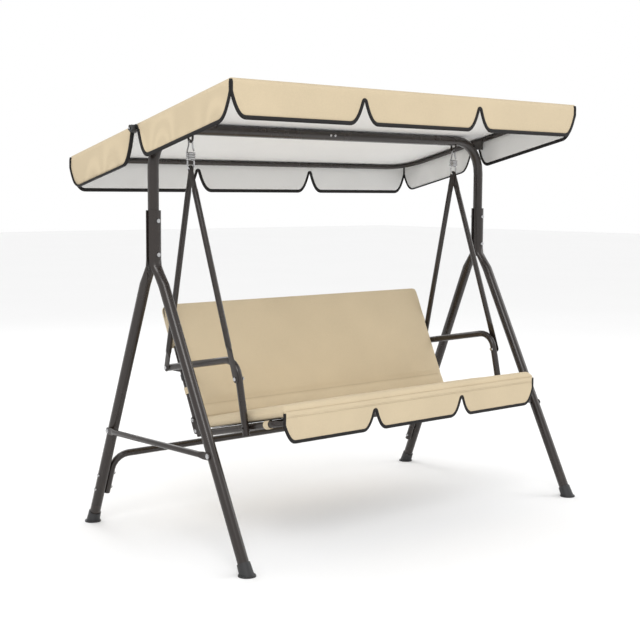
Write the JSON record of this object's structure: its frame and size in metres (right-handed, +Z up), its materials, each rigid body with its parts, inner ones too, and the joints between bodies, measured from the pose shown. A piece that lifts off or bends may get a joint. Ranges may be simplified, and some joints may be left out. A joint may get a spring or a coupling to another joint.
{
  "type": "canopy swing bench",
  "caption": "Garden swing bench: a padded three-seat bench hung on springs in a bent-tube A-frame under a tilting scalloped fabric canopy.",
  "frame": {"origin": "on the floor under the middle of the whole outline, front feet to rear canopy edge", "axes": "+X along the bench, +Y to the rear, +Z up; the sitter faces -Y"},
  "size_m": [1.762, 0.9966, 1.5494],
  "materials": {
    "frame_paint": "dark bronze gloss powder coat",
    "bright_steel": "bright plated",
    "black_plastic": "moulded, matte",
    "cover_fabric": "plain woven polyester, beige with black piping",
    "sling_fabric": "dark coated mesh"
  },
  "bodies": {
    "frame": {"leg_front_left": "frame_paint", "leg_rear_left": "frame_paint", "foot_cap_front_left": "black_plastic", "foot_cap_rear_left": "black_plastic", "leg_bolt_upper_left": "bright_steel", "leg_bolt_lower_left": "bright_steel", "side_brace_left": "frame_paint", "stretcher_bolt_upper_left": "bright_steel", "stretcher_bolt_lower_left": "bright_steel", "tilt_bracket_left": "frame_paint", "tilt_bolt_left": "bright_steel", "top_bar_left": "frame_paint", "leg_front_right": "frame_paint", "leg_rear_right": "frame_paint", "foot_cap_front_right": "black_plastic", "foot_cap_rear_right": "black_plastic", "leg_bolt_upper_right": "bright_steel", "leg_bolt_lower_right": "bright_steel", "side_brace_right": "frame_paint", "stretcher_bolt_upper_right": "bright_steel", "stretcher_bolt_lower_right": "bright_steel", "tilt_bracket_right": "frame_paint", "tilt_bolt_right": "bright_steel", "top_bar_right": "frame_paint", "rear_stretcher": "frame_paint", "top_bar_screw_1": "bright_steel", "top_bar_screw_2": "bright_steel"},
    "canopy": {"canopy_rail_left": "frame_paint", "canopy_tube_front_left": "frame_paint", "canopy_tube_rear_left": "frame_paint", "canopy_rail_right": "frame_paint", "canopy_tube_front_right": "frame_paint", "canopy_tube_rear_right": "frame_paint", "canopy_cover": "cover_fabric"},
    "knob_left": {"tilt_knob_left": "black_plastic"},
    "knob_right": {"tilt_knob_right": "black_plastic"},
    "upper_hooks": {"spring_upper_hook_left": "bright_steel", "spring_coil_left": "bright_steel", "spring_upper_hook_right": "bright_steel", "spring_coil_right": "bright_steel"},
    "lower_hooks": {"spring_lower_hook_left": "bright_steel", "spring_lower_hook_right": "bright_steel"},
    "seat": {"hanger_front_left": "frame_paint", "hanger_rear_left": "frame_paint", "hanger_bolt_front_left": "bright_steel", "hanger_bolt_rear_left": "bright_steel", "armrest_left": "frame_paint", "seat_link_left": "frame_paint", "hanger_front_right": "frame_paint", "hanger_rear_right": "frame_paint", "hanger_bolt_front_right": "bright_steel", "hanger_bolt_rear_right": "bright_steel", "armrest_right": "frame_paint", "seat_link_right": "frame_paint", "seat_frame": "frame_paint", "seat_rear_rail": "frame_paint", "back_frame": "frame_paint", "seat_sling": "sling_fabric", "seat_cover": "cover_fabric", "back_cover": "cover_fabric"}
  },
  "joints": [
    {"name": "canopy_tilt", "type": "hinge", "parent": "frame", "child": "canopy", "pos_m": [0, 0.08125, 1.41145], "axis": [-1, 0, 0], "range_deg": [0, 20]},
    {"name": "swing", "type": "hinge", "parent": "frame", "child": "upper_hooks", "pos_m": [0, 0.03125, 1.3784], "axis": [1, 0, 0], "range_deg": [-20, 20]},
    {"name": "seat_bounce", "type": "slide", "parent": "upper_hooks", "child": "lower_hooks", "axis": [0, 0, 1], "range_m": [-0.02, 0.002], "stiffness_N_per_m": 24000, "springref_m": 0.00661, "deforming": ["spring_coil_left", "spring_coil_right"]},
    {"name": "seat_rock", "type": "hinge", "parent": "lower_hooks", "child": "seat", "pos_m": [0, 0.03125, 1.279], "axis": [1, 0, 0], "range_deg": [-8, 8]},
    {"name": "tilt_knob_left", "type": "hinge", "parent": "frame", "child": "knob_left", "pos_m": [-0.868, 0.08125, 1.41145], "axis": [1, 0, 0], "range_deg": [0, 360]},
    {"name": "tilt_knob_right", "type": "hinge", "parent": "frame", "child": "knob_right", "pos_m": [0.868, 0.08125, 1.41145], "axis": [1, 0, 0], "range_deg": [0, 360]}
  ]
}
